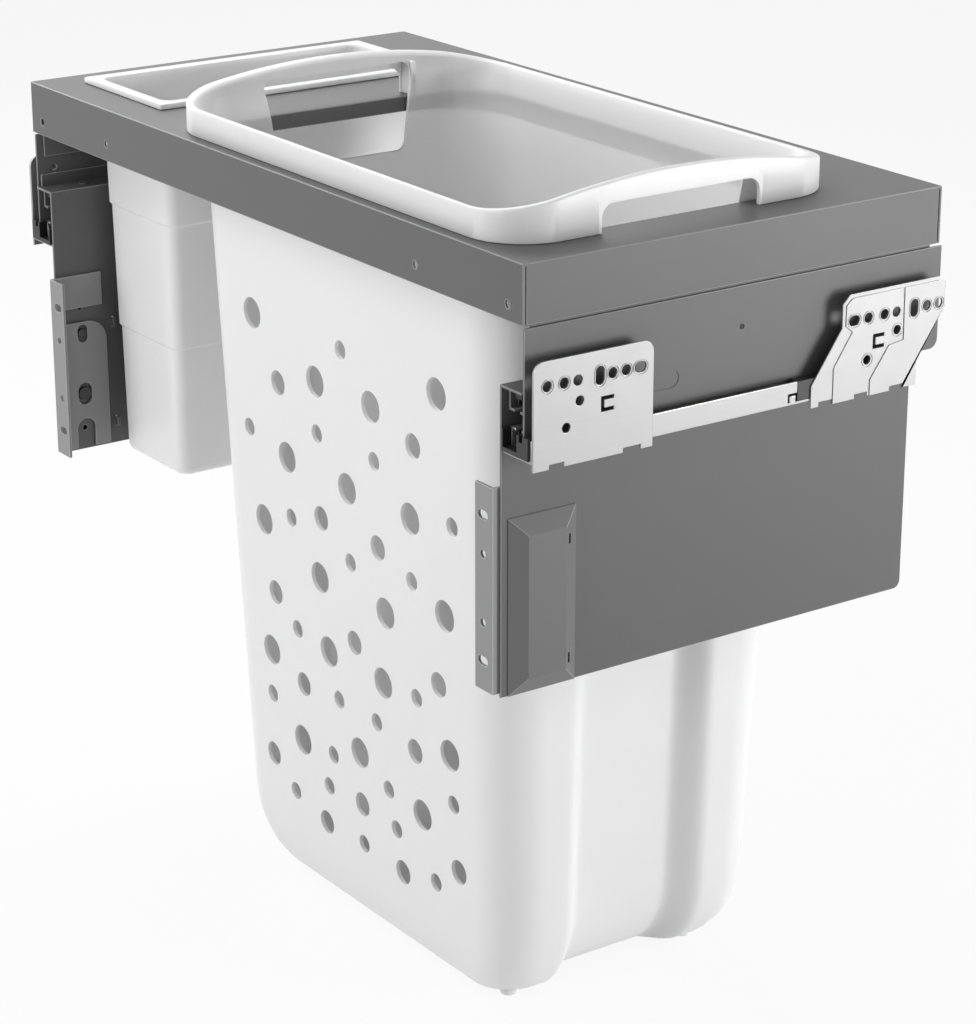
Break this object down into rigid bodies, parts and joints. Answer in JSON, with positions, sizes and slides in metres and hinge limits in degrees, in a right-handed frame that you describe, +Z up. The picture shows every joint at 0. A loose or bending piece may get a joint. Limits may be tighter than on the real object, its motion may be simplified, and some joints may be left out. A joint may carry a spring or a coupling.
{
  "type": "pull-out laundry basket",
  "caption": "Pull-out laundry basket for a base cabinet: a folded steel frame on full-extension runners holds a large perforated basket and a narrow bin that lift out.",
  "frame": {"origin": "middle of the front main pair of fixing holes in the right mounting plate, on the plate's outer face, where it lies against the cabinet's right side", "axes": "+X across the cabinet to the right, square out of the right mounting plate; -Y out of the open front, the way the frame pulls out; +Z up"},
  "size_m": [0.568, 0.2985, 0.5125],
  "materials": {
    "frame_paint": "fine textured grey powder coat",
    "rail_steel": "bright zinc-plated sheet",
    "dark_steel": "black phosphated steel",
    "roller_steel": "polished",
    "black_plastic": "matt",
    "cage_plastic": "natural",
    "bracket_steel": "light grey powder coat",
    "cover_plastic": "satin grey",
    "basket_plastic": "satin white"
  },
  "bodies": {
    "cabinet_side": {"cabinet_rail_left": "rail_steel", "cabinet_rail_right": "rail_steel", "support_angle_left": "rail_steel", "support_angle_right": "rail_steel", "front_plate_left": "rail_steel", "front_plate_right": "rail_steel", "rear_plate_left": "rail_steel", "rear_plate_right": "rail_steel", "rail_cap_left": "black_plastic", "rail_cap_right": "black_plastic", "rail_buffer_left": "black_plastic", "rail_buffer_right": "black_plastic"},
    "carriage": {"top_frame": "frame_paint", "side_sheet_left": "frame_paint", "side_sheet_right": "frame_paint", "lower_panel_left": "frame_paint", "lower_panel_right": "frame_paint", "drawer_rail_left": "frame_paint", "drawer_rail_right": "frame_paint", "rail_rivets": "frame_paint", "rail_bumpers": "black_plastic", "adjuster_screws": "dark_steel", "bracket_cover_left": "cover_plastic", "bracket_cover_right": "cover_plastic"},
    "middle_slide_left": {"middle_rail_left": "dark_steel"},
    "lower_bearing_left": {"lower_cage_left": "cage_plastic", "lower_rollers_left": "roller_steel"},
    "upper_bearing_left": {"upper_cage_left": "cage_plastic", "upper_rollers_left": "roller_steel"},
    "door_fixing_left": {"door_bracket_left": "bracket_steel"},
    "middle_slide_right": {"middle_rail_right": "dark_steel"},
    "lower_bearing_right": {"lower_cage_right": "cage_plastic", "lower_rollers_right": "roller_steel"},
    "upper_bearing_right": {"upper_cage_right": "cage_plastic", "upper_rollers_right": "roller_steel"},
    "door_fixing_right": {"door_bracket_right": "bracket_steel"},
    "basket": {"laundry_basket": "basket_plastic"},
    "bin": {"small_bin": "basket_plastic"}
  },
  "joints": [
    {"name": "pull_out", "type": "slide", "parent": "cabinet_side", "child": "carriage", "axis": [0, -1, 0], "range_m": [0, 0.28]},
    {"name": "middle_slide_left_run", "type": "slide", "parent": "cabinet_side", "child": "middle_slide_left", "axis": [0, -1, 0], "range_m": [0, 0.14]},
    {"name": "lower_bearing_left_run", "type": "slide", "parent": "cabinet_side", "child": "lower_bearing_left", "axis": [0, -1, 0], "range_m": [0, 0.07]},
    {"name": "upper_bearing_left_run", "type": "slide", "parent": "cabinet_side", "child": "upper_bearing_left", "axis": [0, -1, 0], "range_m": [0, 0.21]},
    {"name": "middle_slide_right_run", "type": "slide", "parent": "cabinet_side", "child": "middle_slide_right", "axis": [0, -1, 0], "range_m": [0, 0.14]},
    {"name": "lower_bearing_right_run", "type": "slide", "parent": "cabinet_side", "child": "lower_bearing_right", "axis": [0, -1, 0], "range_m": [0, 0.07]},
    {"name": "upper_bearing_right_run", "type": "slide", "parent": "cabinet_side", "child": "upper_bearing_right", "axis": [0, -1, 0], "range_m": [0, 0.21]},
    {"name": "door_height_left", "type": "slide", "parent": "carriage", "child": "door_fixing_left", "axis": [0, 0, 1], "range_m": [-0.002, 0.002]},
    {"name": "door_height_right", "type": "slide", "parent": "carriage", "child": "door_fixing_right", "axis": [0, 0, 1], "range_m": [-0.002, 0.002]},
    {"name": "basket_lift", "type": "slide", "parent": "carriage", "child": "basket", "axis": [0, 0, 1], "range_m": [0, 0.54]},
    {"name": "bin_lift", "type": "slide", "parent": "carriage", "child": "bin", "axis": [0, 0, 1], "range_m": [0, 0.3]}
  ],
  "couplings": [
    {"joint": "middle_slide_left_run", "follows": "pull_out", "ratio": 0.5},
    {"joint": "lower_bearing_left_run", "follows": "pull_out", "ratio": 0.25},
    {"joint": "upper_bearing_left_run", "follows": "pull_out", "ratio": 0.75},
    {"joint": "middle_slide_right_run", "follows": "pull_out", "ratio": 0.5},
    {"joint": "lower_bearing_right_run", "follows": "pull_out", "ratio": 0.25},
    {"joint": "upper_bearing_right_run", "follows": "pull_out", "ratio": 0.75}
  ]
}
